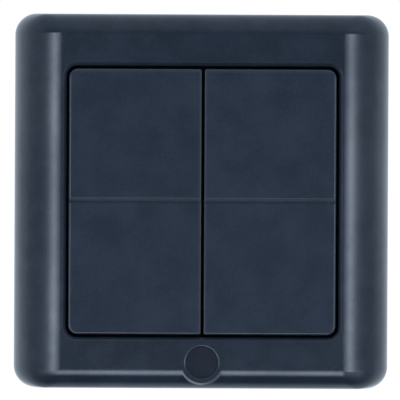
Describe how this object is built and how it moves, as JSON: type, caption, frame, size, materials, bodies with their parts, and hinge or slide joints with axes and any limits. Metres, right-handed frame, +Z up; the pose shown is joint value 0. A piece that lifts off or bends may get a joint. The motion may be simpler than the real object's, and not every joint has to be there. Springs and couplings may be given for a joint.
{
  "type": "wireless wall switch",
  "caption": "Square battery-powered wall switch with paired vertical rocker keys in a rolled surround, on a plate that screws to a flush box.",
  "frame": {"origin": "middle of the wall plate's back face, on the wall plane", "axes": "+X to the right of somebody who faces the switch, +Z up, +Y into the wall; the room is on the -Y side"},
  "size_m": [0.082, 0.0148, 0.082],
  "materials": {
    "blue_plastic": "slate blue, fine matte spark-eroded grain",
    "key_plastic": "slate blue, fine matte grain",
    "carrier_plastic": "dark grey moulded technical plastic",
    "plate_plastic": "mid grey moulded technical plastic",
    "cover_plastic": "near-black moulded plastic",
    "pin_plastic": "natural low-friction plastic",
    "spring_steel": "bright spring wire and domes",
    "nickel": "nickel-plated contact strip",
    "board_green": "green solder resist over glass fibre",
    "chip_black": "black moulded package",
    "ceramic": "tan ceramic body",
    "resist_black": "black glaze on white ceramic",
    "cell_steel": "drawn nickel-plated steel can",
    "holder_plastic": "light heat-resistant plastic",
    "screw_steel": "zinc-plated steel"
  },
  "bodies": {
    "housing": {"frame": "blue_plastic", "carrier": "carrier_plastic", "wall_plate": "plate_plastic", "rear_cover": "cover_plastic", "carrier_screws": "screw_steel", "circuit_board": "board_green", "battery_holder": "holder_plastic", "battery_contact_positive": "nickel", "battery_contact_negative": "nickel", "coin_cell": "cell_steel", "radio_chip": "chip_black", "crystal": "nickel", "antenna": "nickel", "capacitors": "ceramic", "resistors": "resist_black", "learn_button_housing": "chip_black", "learn_button_cover": "nickel", "learn_button_spring": "spring_steel", "return_spring_upper_left": "spring_steel", "contact_dome_upper_left": "spring_steel", "return_spring_upper_right": "spring_steel", "contact_dome_upper_right": "spring_steel", "return_spring_lower_left": "spring_steel", "contact_dome_lower_left": "spring_steel", "return_spring_lower_right": "spring_steel", "contact_dome_lower_right": "spring_steel"},
    "rocker_left": {"rocker_left": "key_plastic"},
    "rocker_right": {"rocker_right": "key_plastic"},
    "key_pin_upper_left": {"key_pin_upper_left": "pin_plastic"},
    "key_pin_upper_right": {"key_pin_upper_right": "pin_plastic"},
    "key_pin_lower_left": {"key_pin_lower_left": "pin_plastic"},
    "key_pin_lower_right": {"key_pin_lower_right": "pin_plastic"},
    "learn_button": {"learn_button_plunger": "pin_plastic"}
  },
  "joints": [
    {"name": "rocker_left_tilt", "type": "hinge", "parent": "housing", "child": "rocker_left", "pos_m": [-0.01482, -0.0112, 0], "axis": [1, 0, 0], "range_deg": [-3, 3], "stiffness_Nm_per_rad": 0.9},
    {"name": "rocker_right_tilt", "type": "hinge", "parent": "housing", "child": "rocker_right", "pos_m": [0.01482, -0.0112, 0], "axis": [1, 0, 0], "range_deg": [-3, 3], "stiffness_Nm_per_rad": 0.9},
    {"name": "key_pin_upper_left_slide", "type": "slide", "parent": "housing", "child": "key_pin_upper_left", "axis": [0, 1, 0], "range_m": [-0.0008, 0.0008], "deforming": ["return_spring_upper_left", "contact_dome_upper_left"]},
    {"name": "key_pin_upper_right_slide", "type": "slide", "parent": "housing", "child": "key_pin_upper_right", "axis": [0, 1, 0], "range_m": [-0.0008, 0.0008], "deforming": ["return_spring_upper_right", "contact_dome_upper_right"]},
    {"name": "key_pin_lower_left_slide", "type": "slide", "parent": "housing", "child": "key_pin_lower_left", "axis": [0, 1, 0], "range_m": [-0.0008, 0.0008], "deforming": ["return_spring_lower_left", "contact_dome_lower_left"]},
    {"name": "key_pin_lower_right_slide", "type": "slide", "parent": "housing", "child": "key_pin_lower_right", "axis": [0, 1, 0], "range_m": [-0.0008, 0.0008], "deforming": ["return_spring_lower_right", "contact_dome_lower_right"]},
    {"name": "learn_button_press", "type": "slide", "parent": "housing", "child": "learn_button", "axis": [0, 1, 0], "range_m": [0, 0.00025], "stiffness_N_per_m": 500, "deforming": ["learn_button_spring"]}
  ],
  "couplings": [
    {"joint": "key_pin_upper_left_slide", "follows": "rocker_left_tilt", "m_per_rad": -0.015},
    {"joint": "key_pin_upper_right_slide", "follows": "rocker_right_tilt", "m_per_rad": -0.015},
    {"joint": "key_pin_lower_left_slide", "follows": "rocker_left_tilt", "m_per_rad": 0.015},
    {"joint": "key_pin_lower_right_slide", "follows": "rocker_right_tilt", "m_per_rad": 0.015}
  ]
}
